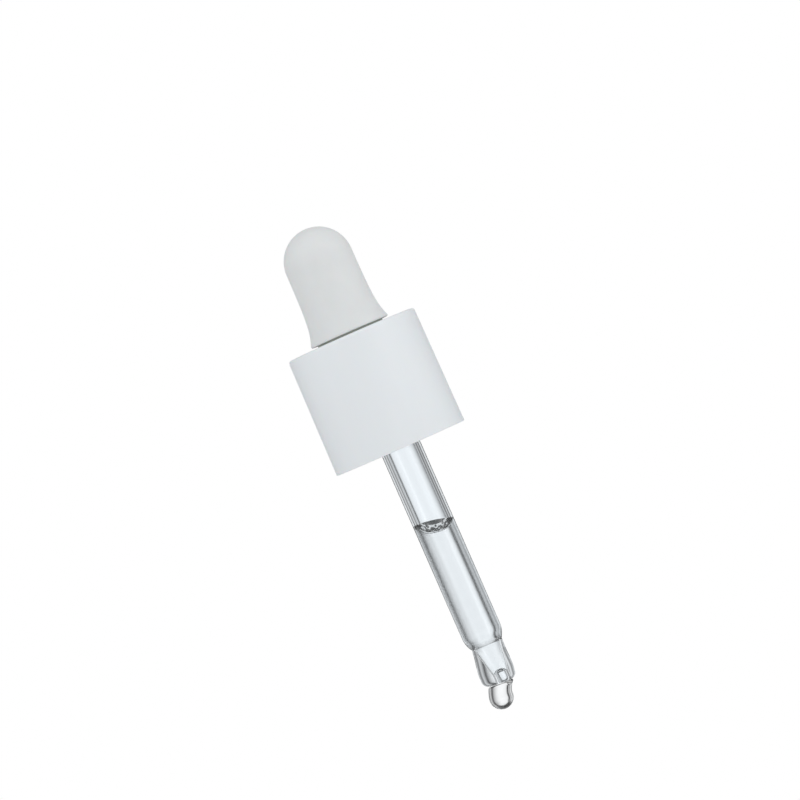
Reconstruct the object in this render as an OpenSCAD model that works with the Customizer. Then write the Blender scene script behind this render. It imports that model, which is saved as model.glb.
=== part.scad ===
// Dropper closure with its glass pipette: a rubber bulb held in a smooth two-part screw
// closure, a sealing gasket, a bent-tip glass pipette and the liquid that it has drawn up.
// The Z axis is the axis of the closure and the pipette, with the bulb up and the tip down.
// The origin is at the middle of the closure's open bottom rim. Sizes are in millimetres.

/* [Bottle neck that the closure screws onto] */
// Diameter over the neck's thread
neck_thread_d = 17.7; // [16:0.1:24]
// Diameter of the neck under the thread
neck_root_d = 15.5; // [13:0.1:15.9]
// Pitch of the thread
thread_pitch = 3.175; // [2.5:0.005:4]
// Number of turns of the closure's thread
thread_turns = 1.75; // [1:0.25:2.5]
// Radial play between the neck and the closure's thread
thread_clearance = 0.2; // [0.1:0.05:0.4]
// Height of the neck, from the closure's rim up to the gasket
neck_h = 15.4; // [13:0.1:22]

/* [Collar shell] */
// Wall of the shell at its top edge
collar_wall = 1.25; // [0.9:0.05:2]
// Thickness of the shell's top plate
collar_plate = 1.25; // [0.9:0.05:2]
// How much wider the shell's radius is at the bottom than at the top
collar_draft = 0.2; // [0:0.05:0.5]
// Radius of the shell's top outer edge
collar_edge_r = 0.5; // [0.2:0.1:0.8]
// Chamfer on the shell's bottom and hole edges
collar_chamfer = 0.2; // [0.1:0.05:0.3]

/* [Threaded closure] */
// Wall of the threaded skirt
skirt_wall = 1.05; // [0.8:0.05:1.8]
// How far the skirt's bottom is set up inside the shell
skirt_recess = 0.6; // [0.3:0.1:1.5]
// Thickness of the web between the bulb and the gasket
web_t = 1.2; // [0.8:0.1:2]
// Height of the ribs that grip the shell, over the skirt
rib_h = 0.2; // [0.1:0.05:0.4]
// Width of one rib
rib_w = 0.8; // [0.5:0.1:1.5]
// Number of ribs
rib_count = 12; // [6:1:18]
// Radial space around the pipette in the web
web_hole_clearance = 0.25; // [0.15:0.05:0.4]

/* [Gasket] */
// Thickness of the gasket
gasket_t = 1.2; // [0.8:0.1:2]
// Radial space between the gasket and the skirt
gasket_rim_clearance = 0.2; // [0.1:0.05:0.4]
// Radial space around the pipette in the gasket
gasket_hole_clearance = 0.15; // [0.1:0.05:0.3]

/* [Rubber bulb] */
// Diameter of the bulb's straight part
bulb_d = 11.88; // [11:0.01:15]
// Height of the bulb over the collar
bulb_h = 19.4; // [16:0.1:26]
// Wall of the bulb
bulb_wall = 1.3; // [0.8:0.05:1.6]
// Height over which the flare at the bulb's base doubles
flare_step = 1.7; // [1.2:0.1:2.2]
// Height of the shadow gap between the bulb's lip and the collar
lip_gap = 0.45; // [0.2:0.05:0.6]
// Height of the lip's upright edge
lip_edge = 0.35; // [0.3:0.05:0.8]
// How far the lip stands out over the neck of the bulb
lip_ledge = 1.1; // [0.4:0.05:1.3]
// Rubber around the pipette in the neck of the bulb
grip_wall = 2.39; // [2:0.01:3.6]
// How far the trapped flange stands out over the neck of the bulb
flange_ledge = 2.28; // [1.2:0.01:2.8]
// Thickness of the trapped flange
flange_t = 1.75; // [1.2:0.05:2.4]
// Length of pipette that the bulb grips
grip_l = 5.2; // [4:0.1:8]

/* [Glass pipette] */
// Outside diameter of the tube
pipette_d = 7.0; // [5.8:0.1:8.6]
// Wall of the tube
glass_wall = 0.95; // [0.7:0.05:1.2]
// Length of straight tube below the closure's rim
tube_drop = 33.6; // [28:0.1:60]
// Length of the shoulder between the tube and the neck of the tip
shoulder_l = 2.65; // [2.4:0.05:4.2]
// Diameter of the tip at its neck
tip_neck_d = 5.52; // [5:0.01:6.8]
// Diameter of the tip at its bulge
tip_bulge_d = 6.17; // [5.6:0.01:7.6]
// Length of the tip below its neck
tip_l = 6.75; // [5.4:0.05:8]
// Radius of the edge at the end of the tip
tip_edge_r = 1.05; // [0.6:0.05:1.2]
// Diameter of the hole that the liquid leaves by
orifice_d = 1.9; // [1.4:0.05:2.4]
// Widest diameter of the tapered bore in the tip
channel_d = 3.5; // [2.9:0.05:4]
// Angle between the outside of the tip and the tube
tip_bend = 4.5; // [0:0.5:6]

/* [Liquid] */
// Height of the edge of the liquid's surface, below the closure's rim
meniscus_drop = 13.6; // [6:0.05:20]
// Depth of the hollow in the liquid's surface
meniscus_depth = 1.9; // [0.3:0.05:2]
// Tilt of the liquid's surface across the tube
meniscus_tilt = 12; // [0:0.5:25]
// Tilt of the liquid's surface from the back of the tube to its front
meniscus_depth_tilt = 9; // [0:0.5:25]
// Radius of the hanging drop
drop_r = 2.0; // [1.7:0.05:2.6]
// Distance from the end of the tip to the middle of the drop's round end
drop_l = 2.6; // [2.1:0.1:4]
// Lean of the drop from the tube's axis
drop_lean = 20; // [0:1:30]

/* [Fits] */
// Radial play of the pipette in the bulb's neck
grip_clearance = 0.03; // [0.02:0.01:0.08]
// Play of the bulb in the closure, around its neck and over and under its flange
swivel_clearance = 0.05; // [0.03:0.01:0.08]
// Radial space around the bulb's flange
flange_clearance = 0.3; // [0.1:0.05:0.5]
// Play between the liquid and the glass
liquid_clearance = 0.02; // [0.02:0.01:0.05]

/* [Hidden] */

// How far a cutting solid runs past what it cuts, and the overlap of solids that are joined
past = 1;
overlap = 0.1;

// Radii of the closure, from the thread outwards
thread_root_r = neck_thread_d / 2 + thread_clearance;
crest_play = 0.1;
thread_crest_r = neck_root_d / 2 + thread_clearance + crest_play;
skirt_r = thread_root_r + skirt_wall;
shell_bore_r = skirt_r + rib_h;
shell_top_r = shell_bore_r + collar_wall;
shell_bottom_r = shell_top_r + collar_draft;

// Radii of the bulb's base
bulb_bore_r = pipette_d / 2 + grip_clearance;
bulb_neck_r = bulb_bore_r + grip_wall;
flange_r = bulb_neck_r + flange_ledge;
lip_r = bulb_neck_r + lip_ledge;
plate_hole_r = bulb_neck_r + swivel_clearance;
pocket_r = flange_r + flange_clearance;

// Heights, from the gasket's sealing face upwards
web_z = neck_h + gasket_t;
pocket_z = web_z + web_t;
flange_z = pocket_z + swivel_clearance;
plate_z = flange_z + flange_t + swivel_clearance;
collar_h = plate_z + collar_plate;
lip_z = collar_h + lip_gap;
bulb_r = bulb_d / 2;
bulb_top_z = collar_h + bulb_h;
dome_z = bulb_top_z - bulb_r;
grip_top_z = flange_z + grip_l;
cavity_r = bulb_r - bulb_wall;
grip_lead = 0.3;
lip_round = 0.12;
cavity_foot = 0.2;
flare_steps = 16;
flare_spread = 1.6;

// Thread of the closure
thread_start_z = 3.2;
thread_foot = 0.15;
thread_foot_half = 0.8;
thread_crest_half = 0.35;
thread_steps_per_turn = 24;
thread_fade = 30;

// Pipette, with the tip's own heights counted from its neck
pipette_r = pipette_d / 2;
bore_r = pipette_r - glass_wall;
pipette_top_z = grip_top_z - 0.2;
rim_round = 0.3;
neck_z = -(tube_drop + shoulder_l);
bulge_z = -0.7 * tip_l;
bulge_fall = 0.08;
edge_z = -tip_l + tip_edge_r;

// Neck of the tip, where the tube's cone and the tip's cone cross
waist_r = tip_neck_d / 2;
waist_rise = 0.15;
waist_reach = 0.6;
waist_fall = 0.25;
shoulder_fall = pipette_r - waist_r;
shoulder_arc_l = shoulder_l - waist_rise;
shoulder_arc_r = (shoulder_arc_l * shoulder_arc_l + shoulder_fall * shoulder_fall) / (2 * shoulder_fall);

// Bore: a round end at the shoulder, then a taper down to the orifice, all on the tube's axis
bore_corner_r = 1.1;
bore_end_z = neck_z + 0.5;
channel_r = channel_d / 2;
orifice_r = orifice_d / 2;
rim_z = neck_z - tip_l * cos(tip_bend);
orifice_l = 1.8;
orifice_z = rim_z + orifice_l;
orifice_chamfer = 0.15;

// Liquid
film = 0.12;
air_pocket_r = orifice_r + 0.02;
drop_foot = 0.05;

// Points along an arc about [cr, cz], from angle a0 to a1
function arc(cr, cz, r, a0, a1, steps) =
  [for (i = [0:steps]) let (a = a0 + (a1 - a0) * i / steps) [cr + r * cos(a), cz + r * sin(a)]];

// Points along an S-shaped change of radius, upright at both ends
function ease(r0, z0, r1, z1, steps) =
  [for (i = [0:steps]) [r0 + (r1 - r0) * (1 - cos(180 * i / steps)) / 2, z0 + (z1 - z0) * i / steps]];

// Radius of the bulb's flare at a height over its lip
function flare(h) = bulb_r + (lip_r - bulb_r) * pow(2, -h / flare_step);

module turned(points) {
  rotate_extrude($fn = 96) polygon(points);
}

module rod(r, z0, z1) {
  translate([0, 0, z0]) cylinder(r = r, h = z1 - z0, $fn = 96);
}

// Places what is drawn about the neck of the tip, leaning with it
module at_tip() {
  translate([0, 0, neck_z]) rotate([0, tip_bend, 0]) children();
}

// Outer shell of the closure, a plain cup with a hole in its top plate
module collar_shell() {
  color([0.88, 0.9, 0.91])
    turned(concat(
      [
        [shell_bore_r + collar_chamfer, 0],
        [shell_bottom_r - collar_chamfer, 0],
        [shell_bottom_r, collar_chamfer]
      ],
      arc(shell_top_r - collar_edge_r, collar_h - collar_edge_r, collar_edge_r, 0, 90, 6),
      [
        [plate_hole_r + collar_chamfer, collar_h],
        [plate_hole_r, collar_h - collar_chamfer],
        [plate_hole_r, plate_z],
        [shell_bore_r, plate_z],
        [shell_bore_r, collar_chamfer]
      ]
    ));
}

// Height of the thread's ridge as a share of the whole, which fades in and out at its ends
function thread_share(turn_angle) =
  max(0.02, min(1, turn_angle / thread_fade, (360 * thread_turns - turn_angle) / thread_fade));

function thread_ring(i, steps) =
  let (
    turn_angle = 360 * thread_turns * i / steps,
    share = thread_share(turn_angle),
    z = thread_start_z + thread_pitch * turn_angle / 360,
    foot_r = thread_root_r + thread_foot,
    crest_r = thread_root_r - (thread_root_r - thread_crest_r) * share,
    section = [
      [foot_r, -thread_foot_half],
      [foot_r, thread_foot_half],
      [crest_r, thread_crest_half],
      [crest_r, -thread_crest_half]
    ]
  )
  [for (p = section) [p[0] * cos(turn_angle), p[0] * sin(turn_angle), z + p[1]]];

module thread() {
  steps = ceil(thread_turns * thread_steps_per_turn);
  points = [for (i = [0:steps]) each thread_ring(i, steps)];
  sides = [
    for (i = [0:steps - 1]) for (k = [0:3])
      let (a = 4 * i + k, b = 4 * i + (k + 1) % 4)
      each [[a, b, b + 4], [a, b + 4, a + 4]]
  ];
  last = 4 * steps;
  ends = [[2, 1, 0], [3, 2, 0], [last, last + 1, last + 2], [last, last + 2, last + 3]];
  polyhedron(points = points, faces = concat(sides, ends), convexity = 6);
}

module rib(angle) {
  rotate([0, 0, angle])
    translate([skirt_r - overlap, -rib_w / 2, skirt_recess + rib_w])
      cube([rib_h + past, rib_w, plate_z - skirt_recess - 2 * rib_w]);
}

// Inner part of the closure: threaded skirt, web and the pocket for the bulb's flange
module threaded_closure() {
  color([0.93, 0.93, 0.92])
    union() {
      turned([
        [thread_root_r, skirt_recess],
        [skirt_r - collar_chamfer, skirt_recess],
        [skirt_r, skirt_recess + collar_chamfer],
        [skirt_r, plate_z],
        [pocket_r, plate_z],
        [pocket_r, pocket_z],
        [pipette_r + web_hole_clearance, pocket_z],
        [pipette_r + web_hole_clearance, web_z],
        [thread_root_r, web_z]
      ]);
      intersection() {
        rod(shell_bore_r, 0, plate_z);
        union() for (i = [0:rib_count - 1]) rib(360 * i / rib_count);
      }
      thread();
    }
}

// Soft disc that seals the closure on the rim of the bottle
module neck_gasket() {
  color([0.82, 0.85, 0.87])
    turned([
      [pipette_r + gasket_hole_clearance, neck_h],
      [thread_root_r - gasket_rim_clearance, neck_h],
      [thread_root_r - gasket_rim_clearance, web_z],
      [pipette_r + gasket_hole_clearance, web_z]
    ]);
}

// Rubber bulb: crown, flared lip, neck through the collar and the flange trapped under it
module bulb() {
  flare_h = dome_z - lip_z - lip_edge;
  floor_z = grip_top_z + (cavity_r - bulb_bore_r) + cavity_foot;
  color([0.85, 0.865, 0.86])
    turned(concat(
      [
        [bulb_bore_r + grip_lead, flange_z],
        [flange_r, flange_z],
        [flange_r, flange_z + flange_t],
        [bulb_neck_r, flange_z + flange_t],
        [bulb_neck_r, lip_z]
      ],
      arc(lip_r - lip_round, lip_z + lip_round, lip_round, -90, 0, 3),
      [
        for (i = [0:flare_steps - 1])
          let (h = flare_h * pow(i / flare_steps, flare_spread))
          [flare(h), lip_z + lip_edge + h]
      ],
      arc(0, dome_z, bulb_r, 0, 90, 16),
      arc(0, dome_z, cavity_r, 90, 0, 12),
      [
        [cavity_r, floor_z],
        [bulb_bore_r, grip_top_z],
        [bulb_bore_r, flange_z + grip_lead]
      ]
    ));
}

module glass_outside() {
  turned(concat(
    [[0, pipette_top_z]],
    arc(pipette_r - rim_round, pipette_top_z - rim_round, rim_round, 90, 0, 4),
    arc(pipette_r - shoulder_arc_r, -tube_drop, shoulder_arc_r, 0, -asin(shoulder_arc_l / shoulder_arc_r), 10),
    [[waist_r - waist_fall, neck_z - waist_reach], [0, neck_z - waist_reach]]
  ));
  at_tip()
    turned(concat(
      [[0, waist_reach], [waist_r - waist_fall, waist_reach]],
      ease(waist_r, -waist_rise, tip_bulge_d / 2, bulge_z, 8),
      arc(tip_bulge_d / 2 - bulge_fall - tip_edge_r, edge_z, tip_edge_r, 0, -90, 8),
      [[0, -tip_l]]
    ));
}

// The space inside the glass from a height down to the orifice's top, set in by a clearance
module bore(top_z, inset) {
  corner_r = bore_corner_r - inset;
  corner_x = bore_r - bore_corner_r;
  corner_end = -acos((channel_r - inset - corner_x) / corner_r);
  turned(concat(
    [[0, top_z], [bore_r - inset, top_z]],
    arc(corner_x, bore_end_z + bore_corner_r, corner_r, 0, corner_end, 6),
    [[orifice_r - inset, orifice_z], [0, orifice_z]]
  ));
}

module orifice() {
  turned([
    [0, orifice_z + overlap],
    [orifice_r, orifice_z + overlap],
    [orifice_r, rim_z + orifice_chamfer],
    [orifice_r + orifice_chamfer + past, rim_z - past],
    [0, rim_z - past]
  ]);
}

// Glass tube with a drawn shoulder and a thick tip that leans a little around its straight bore
module pipette() {
  color([0.8, 0.88, 0.9, 0.45])
    difference() {
      glass_outside();
      bore(pipette_top_z + past, 0);
      orifice();
    }
}

// Liquid in the tube, with a hollow, tilted surface and an air pocket over the drop
module serum_column() {
  surface_r = bore_r - liquid_clearance - film;
  sphere_r = (surface_r * surface_r + meniscus_depth * meniscus_depth) / (2 * meniscus_depth);
  color([0.75, 0.87, 0.93, 0.6])
    difference() {
      bore(0, liquid_clearance);
      translate([0, 0, -meniscus_drop])
        rotate([-meniscus_depth_tilt, meniscus_tilt, 0]) {
          translate([-pipette_d, -pipette_d, 0]) cube([2 * pipette_d, 2 * pipette_d, meniscus_drop + pipette_d]);
          translate([0, 0, sphere_r - meniscus_depth]) sphere(r = sphere_r, $fn = 96);
        }
      translate([0, 0, orifice_z - air_pocket_r / 2]) sphere(r = air_pocket_r, $fn = 48);
    }
}

// Drop hanging from the end of the tip
module serum_drop() {
  rim_r = tip_bulge_d / 2 - bulge_fall - tip_edge_r;
  rim_x = -tip_l * sin(tip_bend);
  color([0.75, 0.87, 0.93, 0.6])
    hull() {
      at_tip() translate([0, 0, -tip_l - drop_foot]) cylinder(r = rim_r, h = drop_foot, $fn = 32);
      translate([rim_x - drop_l * sin(drop_lean), 0, rim_z - drop_l * cos(drop_lean)])
        sphere(r = drop_r, $fn = 32);
    }
}

collar_shell();
threaded_closure();
neck_gasket();
bulb();
pipette();
serum_column();
serum_drop();
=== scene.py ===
"""Looks of a dropper closure: a rubber bulb, a smooth collar and a glass pipette with liquid.

Lengths in the outlines are in millimetres, counted in the row frame: Z runs along the closure's
axis, with 0 at the collar's open rim, the bulb up and the pipette's tip down. Places and sizes of
the floor, the lamps, the camera and the materials' grain are in metres.
"""

import math

import bmesh
import bpy
from mathutils import Matrix, Vector


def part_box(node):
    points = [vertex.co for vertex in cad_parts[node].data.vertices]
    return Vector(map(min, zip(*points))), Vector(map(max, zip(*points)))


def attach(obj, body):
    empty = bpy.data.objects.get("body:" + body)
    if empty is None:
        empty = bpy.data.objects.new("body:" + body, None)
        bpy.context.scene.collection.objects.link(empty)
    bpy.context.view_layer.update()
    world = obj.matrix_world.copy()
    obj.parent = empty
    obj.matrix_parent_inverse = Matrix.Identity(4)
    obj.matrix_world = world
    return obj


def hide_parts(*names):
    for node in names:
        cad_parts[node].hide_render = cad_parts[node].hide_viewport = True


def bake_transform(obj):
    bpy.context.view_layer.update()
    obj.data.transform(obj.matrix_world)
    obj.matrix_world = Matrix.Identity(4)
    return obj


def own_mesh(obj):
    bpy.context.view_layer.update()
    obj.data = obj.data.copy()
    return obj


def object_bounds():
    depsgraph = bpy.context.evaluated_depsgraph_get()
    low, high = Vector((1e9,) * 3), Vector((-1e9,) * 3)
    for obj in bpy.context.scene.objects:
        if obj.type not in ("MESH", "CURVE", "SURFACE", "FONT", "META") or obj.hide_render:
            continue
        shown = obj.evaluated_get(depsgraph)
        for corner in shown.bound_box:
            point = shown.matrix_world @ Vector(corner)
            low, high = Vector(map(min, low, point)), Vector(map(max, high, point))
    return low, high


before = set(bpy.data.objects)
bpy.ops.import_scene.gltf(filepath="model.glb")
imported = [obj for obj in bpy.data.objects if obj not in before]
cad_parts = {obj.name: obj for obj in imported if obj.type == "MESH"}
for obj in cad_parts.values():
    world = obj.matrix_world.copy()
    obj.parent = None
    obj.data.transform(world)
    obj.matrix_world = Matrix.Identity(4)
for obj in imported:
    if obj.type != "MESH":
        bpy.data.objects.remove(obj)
cad_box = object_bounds()

MM = 0.001
# Vertices around a turned piece
SEGMENTS = 144
# A smaller radius than this is a point on the axis
POINT_R = 1e-6
# Faces that meet at a larger angle have a crisp edge between them
SHARP_ANGLE = math.radians(40)


# ---------------------------------------------------------------- sizes, in millimetres


def node_box(node):
    """The lowest and the highest corner of a CAD node."""
    low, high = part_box(node)
    return low / MM, high / MM


collar_high = node_box("collar_shell")[1]
closure_high = node_box("threaded_closure")[1]
bulb_low, bulb_high = node_box("bulb")
pipette_high = node_box("pipette")[1]

# Collar
COLLAR_TOP = collar_high.z
COLLAR_RIM_R = collar_high.x
COLLAR_DRAFT = 0.2
COLLAR_EDGE_R = 0.5
COLLAR_SOFT_EDGE = 0.12
SHELL_BORE_R = closure_high.x
PLATE_BOTTOM = closure_high.z
PLATE_HOLE_PLAY = 0.05

# Bulb
BULB_TOP = bulb_high.z
BULB_R = 5.94
BULB_WALL = 1.3
CAVITY_FOOT = 0.2
LIP_GAP = 0.45
LIP_Z = COLLAR_TOP + LIP_GAP
LIP_R = 7.02
LIP_EDGE = 0.35
LIP_ROUND = 0.12
# Height over which the flare halves
FLARE_STEP = 1.7
FLARE_POINTS = 28
# Power by which the flare's points crowd towards the lip
FLARE_CROWDING = 1.6
BULB_NECK_R = 5.92
BULB_BORE_R = 3.53
BORE_LEAD_R = 0.3
FLANGE_R = bulb_high.x
FLANGE_Z = bulb_low.z
FLANGE_T = 1.75
FLANGE_TOP = FLANGE_Z + FLANGE_T
FLANGE_EDGE_R = 0.15
GRIP_L = 5.2
GRIP_TOP = FLANGE_Z + GRIP_L

# Glass
TUBE_R = pipette_high.x
TUBE_TOP = pipette_high.z
GLASS_WALL = 0.95
BORE_R = TUBE_R - GLASS_WALL
SHOULDER_Z = -33.6
NECK_Z = -36.25
NECK_R = 2.76
NECK_RISE = 0.15
TIP_L = 6.75
TIP_BEND = math.radians(4.5)
# The bend grows from this height over the neck to as far under it
BEND_REACH = 0.35
# Points of the glass nearer to the axis than the rim of the tip, by this margin, don't bend
BEND_MARGIN = 0.02
BULGE_R = 3.085
BULGE_SHARE = 0.7
BULGE_Z = NECK_Z - BULGE_SHARE * TIP_L
TIP_EDGE_R = 1.05
TIP_RIM_R = 1.95
RIM_Z = NECK_Z - TIP_L * math.cos(TIP_BEND)
BORE_END_RISE = 0.5
BORE_END_Z = NECK_Z + BORE_END_RISE
BORE_CORNER_R = 1.1
CHANNEL_R = 1.75
ORIFICE_R = 0.95
ORIFICE_L = 1.8
ORIFICE_Z = RIM_Z + ORIFICE_L
ORIFICE_SOFT_EDGE = 0.15

# Liquid in the tube, which overlaps the glass by its wetting
MENISCUS_Z = -13.6
MENISCUS_DEPTH = 1.9
# Power of the hollow's curve, which is flat in the middle and steep at the glass
MENISCUS_CURL = 3
MENISCUS_TILT = math.radians(12)
MENISCUS_DEPTH_TILT = math.radians(-9)
# Depths under the surface's edge at which its tilt has died out and is still full
TILT_NONE_DEPTH = 12
TILT_FULL_DEPTH = 6
# Small bubbles that sit in the surface: x, y and radius
BUBBLES = [
    (-1.6, -1.25, 0.26), (-1.05, -1.65, 0.3), (-0.45, -1.2, 0.24), (0.1, -1.75, 0.28),
    (0.7, -1.2, 0.24), (1.2, -1.6, 0.26), (1.65, -1.05, 0.22),
]
# Depth of a bubble's pit as a share of its radius
BUBBLE_DEPTH = 0.8
WETTING = 0.03
# Radius of the round top of the air pocket between the liquid and the drop
POCKET_R = 0.97

# Hanging drop, whose middle is at TOP_X at the rim and swings by LEAN_X over a height of LEAN_L
DROP_TOP_X = -0.38
DROP_LEAN_X = -0.96
DROP_LEAN_L = 2.4
DROP_FOOT_RISE = 0.05
DROP_NECK_L = 0.08
DROP_FOOT_R = 2.22
DROP_SHOULDER = 0.3
DROP_R = 2.1
DROP_END_R = 2.05


# ---------------------------------------------------------------- outlines and meshes


def arc(centre_r, centre_z, radius, start, end, steps):
    """Points of an arc in the outline's plane, from one angle to the other in degrees."""
    angles = [math.radians(start + (end - start) * i / steps) for i in range(steps + 1)]
    return [(centre_r + radius * math.cos(a), centre_z + radius * math.sin(a)) for a in angles]


def ease(r0, z0, r1, z1, steps):
    """Points of an S-shaped change of radius, upright at both ends."""
    shares = [i / steps for i in range(steps + 1)]
    return [
        (r0 + (r1 - r0) * (1 - math.cos(math.pi * t)) / 2, z0 + (z1 - z0) * t)
        for t in shares
    ]


def smoothstep(t):
    """0 up to t = 0, 1 from t = 1 and a soft step between them."""
    t = min(1.0, max(0.0, t))
    return t * t * (3 - 2 * t)


def finish_mesh(name, bm):
    """The bmesh as an object with smooth faces and crisp corners."""
    bmesh.ops.recalc_face_normals(bm, faces=bm.faces)
    mesh = bpy.data.meshes.new(name)
    bm.to_mesh(mesh)
    bm.free()
    mesh.shade_smooth()
    mesh.set_sharp_from_angle(angle=SHARP_ANGLE)
    piece = bpy.data.objects.new(name, mesh)
    bpy.context.scene.collection.objects.link(piece)
    return piece


def loft(bm, rings):
    """Joins neighbouring rings, each a list of vertices, or one vertex where the ring is a pole."""
    for a, b in zip(rings, rings[1:]):
        count = max(len(a), len(b))
        if count == 1:
            continue
        for i in range(count):
            j = (i + 1) % count
            corners = [a[i % len(a)], a[j % len(a)], b[j % len(b)], b[i % len(b)]]
            bm.faces.new(list(dict.fromkeys(corners)))


def lathe(name, outline, deform=None, closed=True):
    """A turned piece from an outline's radii and heights, whose points deform may then move.

    A closed outline runs on from its last point to its first one.
    """
    bm = bmesh.new()
    rings = []
    for radius, height in outline:
        count = 1 if radius < POINT_R else SEGMENTS
        ring = []
        for i in range(count):
            angle = 2 * math.pi * i / SEGMENTS
            point = Vector((radius * math.cos(angle), radius * math.sin(angle), height))
            if deform:
                point = deform(point)
            ring.append(bm.verts.new(point * MM))
        rings.append(ring)
    if closed:
        rings.append(rings[0])
    loft(bm, rings)
    return finish_mesh(name, bm)


# ---------------------------------------------------------------- collar and bulb


def collar_outline():
    """The shell: a cup with a hole in its top plate for the neck of the bulb."""
    soft = COLLAR_SOFT_EDGE
    top_r = COLLAR_RIM_R - COLLAR_DRAFT
    hole_r = BULB_NECK_R + PLATE_HOLE_PLAY
    return [
        *arc(SHELL_BORE_R + soft, soft, soft, 180, 270, 4),
        *arc(COLLAR_RIM_R - soft, soft, soft, 270, 360, 4),
        *arc(top_r - COLLAR_EDGE_R, COLLAR_TOP - COLLAR_EDGE_R, COLLAR_EDGE_R, 0, 90, 12),
        *arc(hole_r + soft, COLLAR_TOP - soft, soft, 90, 180, 4),
        (hole_r, PLATE_BOTTOM),
        (SHELL_BORE_R, PLATE_BOTTOM),
    ]


def crown_outline():
    """The bulb above the collar: lip, flare, straight part and dome, with the cavity inside."""
    dome_z = BULB_TOP - BULB_R
    cavity_r = BULB_R - BULB_WALL
    cavity_z = GRIP_TOP + cavity_r - BULB_BORE_R + CAVITY_FOOT
    flare_z = LIP_Z + LIP_EDGE
    rise = dome_z - flare_z
    heights = [rise * (i / FLARE_POINTS) ** FLARE_CROWDING for i in range(FLARE_POINTS + 1)]
    flare = [
        (BULB_R + (LIP_R - BULB_R) * 2 ** (-h / FLARE_STEP), flare_z + h)
        for h in heights
    ]
    return [
        (BULB_BORE_R, LIP_Z),
        *arc(LIP_R - LIP_ROUND, LIP_Z + LIP_ROUND, LIP_ROUND, 270, 360, 5),
        *flare,
        *arc(0, dome_z, BULB_R, 0, 90, 32)[1:-1],
        (0, BULB_TOP),
        (0, dome_z + cavity_r),
        *arc(0, dome_z, cavity_r, 90, 0, 20)[1:],
        (cavity_r, cavity_z),
        (BULB_BORE_R, GRIP_TOP),
    ]


def bulb_base_outline():
    """The bulb's neck through the collar and the flange trapped under the plate."""
    lead, edge = BORE_LEAD_R, FLANGE_EDGE_R
    return [
        (BULB_BORE_R, LIP_Z),
        *arc(BULB_BORE_R + lead, FLANGE_Z + lead, lead, 180, 270, 4),
        *arc(FLANGE_R - edge, FLANGE_Z + edge, edge, 270, 360, 3),
        *arc(FLANGE_R - edge, FLANGE_TOP - edge, edge, 0, 90, 3),
        (BULB_NECK_R, FLANGE_TOP),
        (BULB_NECK_R, LIP_Z),
    ]


# ---------------------------------------------------------------- glass


def bent(point):
    """The outside of the tip leans towards -X below its neck; the bore inside stays straight."""
    if math.hypot(point.x, point.y) < TIP_RIM_R - BEND_MARGIN:
        return point
    turn = TIP_BEND * smoothstep((NECK_Z + BEND_REACH - point.z) / (2 * BEND_REACH))
    height = point.z - NECK_Z
    return Vector((
        point.x * math.cos(turn) + height * math.sin(turn),
        point.y,
        NECK_Z - point.x * math.sin(turn) + height * math.cos(turn),
    ))


def glass_outside():
    """The tube's top rim, its straight wall, the drawn shoulder, the bulging tip and its edge."""
    rim_r = GLASS_WALL / 2
    tip_end = NECK_Z - TIP_L
    length = SHOULDER_Z - NECK_Z - NECK_RISE
    fall = TUBE_R - NECK_R
    curve_r = (length**2 + fall**2) / (2 * fall)
    slope = math.degrees(math.asin(length / curve_r))
    return [
        *arc(TUBE_R - rim_r, TUBE_TOP - rim_r, rim_r, 180, 0, 12),
        *arc(TUBE_R - curve_r, SHOULDER_Z, curve_r, 0, -slope, 20),
        *ease(NECK_R, NECK_Z - NECK_RISE, BULGE_R, BULGE_Z, 24),
        *arc(TIP_RIM_R, tip_end + TIP_EDGE_R, TIP_EDGE_R, 0, -90, 14),
    ]


def bore_outline(grow):
    """The space inside the glass, grown by a margin, from the top of its round end to the orifice."""
    corner_r = BORE_R - BORE_CORNER_R
    end = -math.degrees(math.acos((CHANNEL_R - corner_r) / BORE_CORNER_R))
    return [
        *arc(corner_r, BORE_END_Z + BORE_CORNER_R, BORE_CORNER_R + grow, 0, end, 12),
        (ORIFICE_R + grow, ORIFICE_Z),
    ]


def glass_inside():
    """The bore down to the soft edge of the orifice."""
    soft = ORIFICE_SOFT_EDGE
    return [*bore_outline(0), *arc(ORIFICE_R + soft, RIM_Z + soft, soft, 180, 270, 4)]


def pipette_outline():
    """The glass, down its outside and back up its bore."""
    return [*glass_outside(), *reversed(glass_inside())]


# ---------------------------------------------------------------- liquid


def tilted(point):
    """The liquid's surface falls towards +X and towards the back, with small bubbles in it."""
    height = point.z - MENISCUS_Z + TILT_NONE_DEPTH
    share = smoothstep(height / (TILT_NONE_DEPTH - TILT_FULL_DEPTH))
    rise = point.y * math.tan(MENISCUS_DEPTH_TILT) - point.x * math.tan(MENISCUS_TILT)
    pit = max(radius**2 - (point.x - x) ** 2 - (point.y - y) ** 2 for x, y, radius in BUBBLES)
    sag = BUBBLE_DEPTH * math.sqrt(pit) if pit > 0 and share == 1 else 0
    return point + Vector((0, 0, rise * share - sag))


def serum_outline():
    """The liquid from its hollow surface down to the air pocket over the drop."""
    surface_steps = 30
    shares = [math.sin(math.pi / 2 * i / surface_steps) for i in range(surface_steps + 1)]
    surface = [
        ((BORE_R + WETTING) * t, MENISCUS_Z - MENISCUS_DEPTH * (1 - t**MENISCUS_CURL))
        for t in shares
    ]
    pocket = arc(0, ORIFICE_Z - ORIFICE_R / 2, POCKET_R, 25, 90, 12)
    return [
        (0, surface[0][1]),
        *surface[1:],
        *bore_outline(WETTING),
        *pocket[:-1],
        (0, pocket[-1][1]),
    ]


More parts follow.
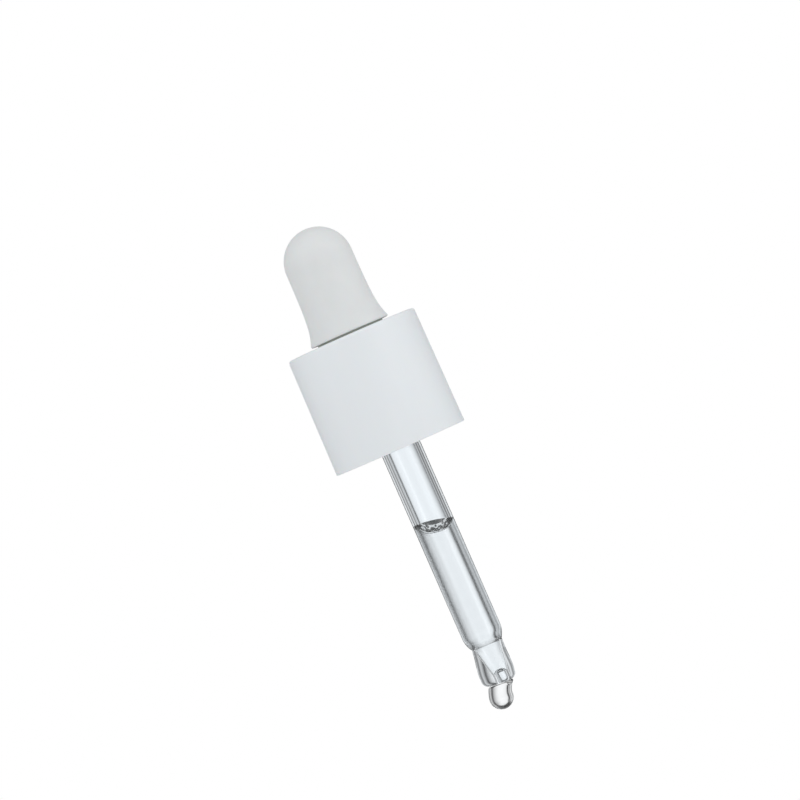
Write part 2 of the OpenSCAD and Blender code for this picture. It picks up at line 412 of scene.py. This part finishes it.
def drop_outline():
    """Half of the hanging drop before it leans, from the rim of the glass down."""
    foot_z = RIM_Z + DROP_FOOT_RISE
    end_z = foot_z - DROP_LEAN_L
    neck_r = DROP_FOOT_R - DROP_SHOULDER
    shoulder = arc(neck_r, foot_z - DROP_NECK_L - DROP_SHOULDER, DROP_SHOULDER, 90, 0, 10)
    shoulder_end = shoulder[-1][1]
    side_l = DROP_LEAN_L - DROP_NECK_L - DROP_SHOULDER
    side_steps = 20
    side = [
        (
            DROP_R + (DROP_FOOT_R - DROP_R) * (1 - i / side_steps) ** 3,
            shoulder_end - side_l * i / side_steps,
        )
        for i in range(1, side_steps)
    ]
    cap_steps = 24
    cap = [
        (DROP_R * math.cos(a), end_z - DROP_END_R * math.sin(a))
        for a in [math.radians(90 * i / cap_steps) for i in range(cap_steps)]
    ]
    return [(0, foot_z), (neck_r, foot_z), *shoulder, *side, *cap, (0, end_z - DROP_END_R)]


def leaning(point):
    """The drop hangs towards the side that the photo's down points to."""
    depth = (RIM_Z - point.z) / DROP_LEAN_L
    swing = math.sin(math.pi / 2 * min(1.0, max(0.0, depth)))
    tilt = (point.x - DROP_TOP_X) * math.tan(TIP_BEND) * (1 - smoothstep(depth))
    return point + Vector((DROP_TOP_X + DROP_LEAN_X * swing, 0, -tilt))


# ---------------------------------------------------------------- materials


class Nodes:
    """A node tree with short ways to add and join nodes."""

    def __init__(self, tree):
        self.tree = tree

    def add(self, kind, **settings):
        """A new node, with its settings but none of its sockets' values."""
        node = self.tree.nodes.new(kind)
        for key, value in settings.items():
            setattr(node, key, value)
        return node

    def join(self, source, target):
        """Links a node's output to another one's input."""
        self.tree.links.new(source, target)


def rgba(level):
    """The four channels of a colour, or of the grey that a single number stands for."""
    return (*level, 1) if isinstance(level, tuple) else (level, level, level, 1)


def shade(colour, share):
    """The colour darkened to a share of itself."""
    return tuple(c * share for c in colour)


class Look(Nodes):
    """A material: its Principled shader and the nodes that vary it over the surface."""

    def __init__(self, name):
        self.material = bpy.data.materials.new(name)
        self.material.use_nodes = True
        super().__init__(self.material.node_tree)
        self.shader = self.tree.nodes["Principled BSDF"]
        self.space = self.add("ShaderNodeTexCoord").outputs["Object"]

    def set(self, **values):
        """Gives the shader's sockets one value all over, with _ for a space in a socket's name."""
        for key, value in values.items():
            self.shader.inputs[key.replace("_", " ")].default_value = value

    def drive(self, socket, source):
        """Links a node's output to one of the shader's sockets."""
        self.join(source, self.shader.inputs[socket])

    def stretched(self, scale):
        """The surface's coordinates, scaled along each axis."""
        mapping = self.add("ShaderNodeMapping")
        mapping.inputs["Scale"].default_value = scale
        self.join(self.space, mapping.inputs["Vector"])
        return mapping.outputs["Vector"]

    def noise(self, size, detail, vector=None):
        """Noise whose features are about size metres across."""
        node = self.add("ShaderNodeTexNoise")
        node.inputs["Scale"].default_value = 1 / size
        node.inputs["Detail"].default_value = detail
        self.join(vector or self.space, node.inputs["Vector"])
        return node.outputs["Fac"]

    def ramp(self, factor, low, high, start=0.35, end=0.65):
        """A change from one colour or number to another as the factor goes from start to end."""
        node = self.add("ShaderNodeValToRGB")
        first, last = node.color_ramp.elements
        first.position, last.position = start, end
        first.color, last.color = rgba(low), rgba(high)
        self.join(factor, node.inputs["Fac"])
        return node.outputs["Color"]

    def bump(self, height, depth, strength, after=None):
        """Relief of a depth in metres, laid over the relief that comes before it."""
        node = self.add("ShaderNodeBump")
        node.inputs["Distance"].default_value = depth
        node.inputs["Strength"].default_value = strength
        self.join(height, node.inputs["Height"])
        if after:
            self.join(after, node.inputs["Normal"])
        return node.outputs["Normal"]

    def mottled(self, colour, share, size, detail):
        """A base colour that darkens to a share of itself in patches about size metres across."""
        self.drive("Base Color", self.ramp(self.noise(size, detail), shade(colour, share), colour))

    def uneven(self, low, high, size, detail):
        """A roughness that wanders between two values over about size metres."""
        self.drive("Roughness", self.ramp(self.noise(size, detail), low, high))

    def grained(self, size, detail, depth, strength, after=None):
        """Fine relief over the whole surface, laid over the relief that comes before it."""
        self.drive("Normal", self.bump(self.noise(size, detail), depth, strength, after))


def collar_material():
    """Satin moulded plastic: very fine grain, faint flow marks and slightly uneven gloss."""
    colour = (0.84, 0.862, 0.878)
    look = Look("collar_satin_plastic")
    flow = look.noise(0.006, detail=3, vector=look.stretched((1, 1, 0.25)))
    look.drive("Base Color", look.ramp(flow, shade(colour, 0.985), colour))
    look.uneven(0.36, 0.44, size=0.0012, detail=4)
    grain = look.bump(look.noise(0.00012, detail=3), depth=0.000004, strength=0.5)
    look.grained(0.0025, detail=2, depth=0.000006, strength=0.4, after=grain)
    look.set(IOR=1.47, Subsurface_Weight=0.08, Subsurface_Scale=0.001)
    return look.material


def rubber_material():
    """Matte silicone rubber: dusty grain, soft mottling and a faint sheen."""
    look = Look("bulb_matte_rubber")
    look.mottled((0.775, 0.782, 0.778), 0.975, size=0.004, detail=4)
    look.uneven(0.58, 0.7, size=0.0008, detail=3)
    grain = look.bump(look.noise(0.00016, detail=4), depth=0.000012, strength=0.55)
    look.grained(0.0018, detail=2, depth=0.00001, strength=0.35, after=grain)
    look.set(IOR=1.42, Sheen_Weight=0.12, Sheen_Roughness=0.6)
    look.set(Subsurface_Weight=0.1, Subsurface_Scale=0.0015)
    return look.material


def painted_shade_base_material():
    """The same rubber where it stays in the recess, darkened by painted shade and given an olive
    cast.
    """
    look = Look("bulb_base_rubber_painted_shade")
    # Painted shade: the neck's colour is darkened to stand for the shade in the gap under the lip
    look.mottled((0.62, 0.65, 0.57), 0.9, size=0.002, detail=3)
    look.uneven(0.6, 0.75, size=0.0008, detail=3)
    look.grained(0.0002, detail=3, depth=0.00001, strength=0.5)
    look.set(IOR=1.42)
    return look.material


def closure_material():
    """Plain moulded plastic inside the collar."""
    look = Look("closure_moulded_plastic")
    look.mottled((0.80, 0.81, 0.80), 0.96, size=0.003, detail=3)
    look.uneven(0.4, 0.52, size=0.0007, detail=3)
    look.grained(0.0002, detail=3, depth=0.000008, strength=0.5)
    look.set(IOR=1.49)
    return look.material


def gasket_material():
    """Foamed sealing disc: small closed cells under a dull skin."""
    colour = (0.70, 0.735, 0.755)
    cell_size = 0.00022
    look = Look("gasket_foam")
    voronoi = look.add("ShaderNodeTexVoronoi", feature="SMOOTH_F1")
    voronoi.inputs["Scale"].default_value = 1 / cell_size
    look.join(look.space, voronoi.inputs["Vector"])
    cells = voronoi.outputs["Distance"]
    look.drive("Base Color", look.ramp(cells, colour, shade(colour, 0.86), start=0.1, end=0.8))
    look.drive("Normal", look.bump(cells, depth=0.00003, strength=0.6))
    look.uneven(0.66, 0.8, size=0.001, detail=2)
    return look.material


def glass_material():
    """Clear drawn glass with hardly visible lines along the tube."""
    look = Look("pipette_clear_glass")
    lines = look.noise(0.0006, detail=2, vector=look.stretched((1, 1, 0.04)))
    look.drive("Normal", look.bump(lines, depth=0.0000015, strength=0.25))
    look.set(Transmission_Weight=1.0, Roughness=0.0, IOR=1.5)
    look.set(Base_Color=(0.955, 0.975, 0.99, 1))
    return look.material


def liquid_material():
    """Thin clear serum with a trace of swirl."""
    look = Look("serum_clear_liquid")
    swirl = look.noise(0.003, detail=1)
    look.drive("Base Color", look.ramp(swirl, (0.985, 0.985, 0.98), (1.0, 0.995, 0.99)))
    look.set(Transmission_Weight=1.0, Roughness=0.0, IOR=1.36)
    return look.material


def paint(piece, material):
    """Gives a new piece its only material."""
    piece.data.materials.clear()
    piece.data.materials.append(material)


def paint_node(node, material):
    """Gives a carried-over CAD node its material, in its object's own slots."""
    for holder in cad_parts[node].material_slots:
        holder.link = "OBJECT"
        holder.material = material


def place(piece, body, slot, material, *replaced):
    """Paints a piece, puts it on its body and hides the CAD nodes that it stands for."""
    paint(piece, material)
    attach(piece, body)
    if replaced:
        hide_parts(*replaced)
    return piece


# ---------------------------------------------------------------- the object


def make_object():
    """The new pieces, each but the liquid column on its body, and the materials of the two CAD nodes
    that are kept.
    """
    rubber = rubber_material()
    liquid = liquid_material()
    place(
        lathe("collar", collar_outline()),
        "closure", "collar_plastic", collar_material(), "collar_shell",
    )
    crown = place(lathe("bulb_crown", crown_outline()), "bulb", "bulb_rubber", rubber, "bulb")
    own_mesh(crown)
    place(lathe("bulb_base", bulb_base_outline()), "bulb", "bulb_rubber", painted_shade_base_material())
    place(
        lathe("glass_pipette", pipette_outline(), bent),
        "pipette", "pipette_glass", glass_material(), "pipette",
    )
    column = lathe("liquid_column", serum_outline(), tilted, closed=False)
    paint(column, liquid)
    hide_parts("serum_column")
    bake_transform(column)
    place(
        lathe("liquid_drop", drop_outline(), leaning, closed=False),
        "pipette", "serum_liquid", liquid, "serum_drop",
    )
    paint_node("threaded_closure", closure_material())
    paint_node("neck_gasket", gasket_material())


# ---------------------------------------------------------------- floor

FLOOR_DROP = 0.28
FLOOR_FRONT = -3.0
FLOOR_BACK = 0.35
FLOOR_HALF_WIDTH = 3.0


def make_floor():
    """A level floor well under the object, longer towards the camera than behind the object."""
    bm = bmesh.new()
    z = cad_box[0].z - FLOOR_DROP
    corners = [
        (-FLOOR_HALF_WIDTH, FLOOR_FRONT, z),
        (FLOOR_HALF_WIDTH, FLOOR_FRONT, z),
        (FLOOR_HALF_WIDTH, FLOOR_BACK, z),
        (-FLOOR_HALF_WIDTH, FLOOR_BACK, z),
    ]
    bm.faces.new([bm.verts.new(c) for c in corners])
    floor = finish_mesh("floor", bm)
    look = Look("floor_pale")
    look.drive("Base Color", look.ramp(look.noise(0.4, detail=2), 0.93, 0.95))
    look.set(Roughness=0.9, Specular_IOR_Level=0.1)
    paint(floor, look.material)


# ---------------------------------------------------------------- studio

# Brightness of the studio on its left, on its right and above and below. Each pair is an angle in
# degrees from straight behind the object and the brightness there
STUDIO_LEFT = [
    (0, 1.03), (8, 0.97), (13, 0.9), (16, 0.8), (18.5, 0.42), (20, 0.04), (23, 0.03), (25, 0.4),
    (28, 0.5), (32, 0.3), (37, 0.72), (41, 0.8), (45, 0.42), (50, 0.2), (56, 0.36), (66, 0.6),
    (78, 0.9), (95, 1.0), (130, 1.0), (155, 0.85), (170, 0.45),
]
STUDIO_RIGHT = [
    (0, 1.03), (5, 0.98), (10, 0.86), (15, 0.68), (18, 0.54), (22, 0.36), (25, 0.12), (28.5, 0.05),
    (31, 0.26), (38, 0.55), (42, 0.55), (46, 0.3), (50, 0.16), (56, 0.2), (66, 0.5), (78, 0.9),
    (95, 1.0), (130, 1.0), (155, 0.85), (170, 0.45),
]
STUDIO_OVER = [
    (0, 1.0), (10, 0.97), (17, 0.9), (20, 0.7), (23, 0.08), (38, 0.03), (50, 0.15), (62, 0.5),
    (80, 0.8), (100, 0.95), (130, 1.0), (155, 0.85), (170, 0.45),
]
STUDIO_TINT = (0.965, 0.985, 1.0)
# The left changes into the right where the sideways part of a ray's direction is under this
SEAM_HALF_WIDTH = 0.1
# Angles from the horizontal, seen from the front, between which the sides change into STUDIO_OVER
OVER_START = math.radians(30)
OVER_END = math.radians(60)


class Studio(Nodes):
    """The world's nodes, which work on the direction that a ray leaves in."""

    def calculate(self, operation, *values):
        """The result of a math node. Each value is another node's output or a number."""
        node = self.add("ShaderNodeMath", operation=operation)
        for value, target in zip(values, node.inputs):
            if isinstance(value, float):
                target.default_value = value
            else:
                self.join(value, target)
        return node.outputs[0]

    def angle_share(self, ray):
        """The angle between a ray and straight behind the object, as a share of a half turn."""
        along = self.add("ShaderNodeVectorMath", operation="DOT_PRODUCT")
        along.inputs[1].default_value = (0, 1, 0)
        self.join(ray, along.inputs[0])
        angle = self.calculate("ARCCOSINE", along.outputs["Value"])
        return self.calculate("DIVIDE", angle, math.pi)

    def side(self, stops, share):
        """One side of the studio, whose brightness follows its stops."""
        ramp = self.add("ShaderNodeValToRGB")
        self.join(share, ramp.inputs["Fac"])
        elements = ramp.color_ramp.elements
        # A new ramp already has two elements
        for i, (degrees, level) in enumerate(stops):
            element = elements[i] if i < 2 else elements.new(degrees / 180)
            element.position = degrees / 180
            element.color = rgba(shade(STUDIO_TINT, level))
        return ramp.outputs["Color"]

    def fade(self, source, start, end):
        """A soft step from 0 to 1 as the source goes from start to end."""
        node = self.add("ShaderNodeMapRange", interpolation_type="SMOOTHSTEP")
        node.inputs["From Min"].default_value = start
        node.inputs["From Max"].default_value = end
        self.join(source, node.inputs["Value"])
        return node.outputs["Result"]

    def mix_colours(self, share, first, second):
        """The first colour where the share is 0, the second where it is 1."""
        node = self.add("ShaderNodeMix", data_type="RGBA")
        for source, target in zip((share, first, second), [i for i in node.inputs if i.enabled]):
            self.join(source, target)
        return [o for o in node.outputs if o.enabled][0]


def make_world():
    """A white backdrop with darker wings beside it, which draw the edges of the glass."""
    world = bpy.data.worlds.new("studio")
    bpy.context.scene.world = world
    world.use_nodes = True
    world.node_tree.nodes.clear()
    nodes = Studio(world.node_tree)

    ray = nodes.add("ShaderNodeTexCoord").outputs["Generated"]
    share = nodes.angle_share(ray)
    split = nodes.add("ShaderNodeSeparateXYZ")
    nodes.join(ray, split.inputs[0])
    rise = nodes.calculate("ABSOLUTE", split.outputs["Z"])
    run = nodes.calculate("ABSOLUTE", split.outputs["X"])
    slope = nodes.calculate("ARCTAN2", rise, run)
    sides = nodes.mix_colours(
        nodes.fade(split.outputs["X"], -SEAM_HALF_WIDTH, SEAM_HALF_WIDTH),
        nodes.side(STUDIO_LEFT, share),
        nodes.side(STUDIO_RIGHT, share),
    )
    everywhere = nodes.mix_colours(
        nodes.fade(slope, OVER_START, OVER_END),
        sides,
        nodes.side(STUDIO_OVER, share),
    )

    # The camera itself sees plain white behind the object
    studio = nodes.add("ShaderNodeBackground")
    nodes.join(everywhere, studio.inputs["Color"])
    white = nodes.add("ShaderNodeBackground")
    white.inputs["Color"].default_value = (1, 1, 1, 1)
    mix = nodes.add("ShaderNodeMixShader")
    nodes.join(nodes.add("ShaderNodeLightPath").outputs["Is Camera Ray"], mix.inputs["Fac"])
    nodes.join(studio.outputs["Background"], mix.inputs[1])
    nodes.join(white.outputs["Background"], mix.inputs[2])
    nodes.join(mix.outputs["Shader"], nodes.add("ShaderNodeOutputWorld").inputs["Surface"])


def softbox(name, location, size, power):
    """A large soft lamp aimed at the frame's origin, which is near the middle of the object."""
    lamp = bpy.data.lights.new(name, "AREA")
    lamp.shape = "RECTANGLE"
    lamp.size, lamp.size_y = size
    lamp.energy = power
    holder = bpy.data.objects.new(name, lamp)
    holder.location = location
    holder.rotation_mode = "QUATERNION"
    holder.rotation_quaternion = (-Vector(location)).to_track_quat("-Z", "Y")
    holder.visible_camera = False
    bpy.context.scene.collection.objects.link(holder)
    return holder


def make_lights():
    """Two lamps in front of the object and one behind it."""
    softbox("softbox_left", location=(-0.55, -0.75, 0.2), size=(0.35, 0.9), power=0.35)
    softbox("softbox_right", location=(0.75, -0.6, 0.2), size=(0.35, 0.9), power=0.92)
    # The lamp behind lights the back of the object without showing through the glass
    behind = softbox("softbox_behind", location=(0.15, 0.8, 0.4), size=(0.9, 0.5), power=1.2)
    behind.visible_transmission = False
    behind.visible_glossy = False


# ---------------------------------------------------------------- camera

CAMERA_AIM = Vector((0.00315, 0, 0.00748))
CAMERA_DISTANCE = 0.675
CAMERA_ROLL = math.radians(23.7)
CAMERA_LENS = 180


def make_camera():
    """A camera straight in front of the object, rolled so that the object slants as in the photo."""
    camera = bpy.data.cameras.new("camera")
    camera.lens = CAMERA_LENS
    camera.sensor_width = 36
    camera.clip_start = 0.01
    camera.clip_end = 50
    holder = bpy.data.objects.new("camera", camera)
    bpy.context.scene.collection.objects.link(holder)
    right = Vector((math.cos(CAMERA_ROLL), 0, -math.sin(CAMERA_ROLL)))
    up = Vector((math.sin(CAMERA_ROLL), 0, math.cos(CAMERA_ROLL)))
    back = Vector((0, -1, 0))
    turn = Matrix((right, up, back)).transposed().to_4x4()
    holder.matrix_world = Matrix.Translation(CAMERA_AIM + back * CAMERA_DISTANCE) @ turn
    bpy.context.scene.camera = holder


make_camera()
make_object()
make_floor()
make_world()
make_lights()
bpy.context.scene.view_settings.view_transform = "Standard"
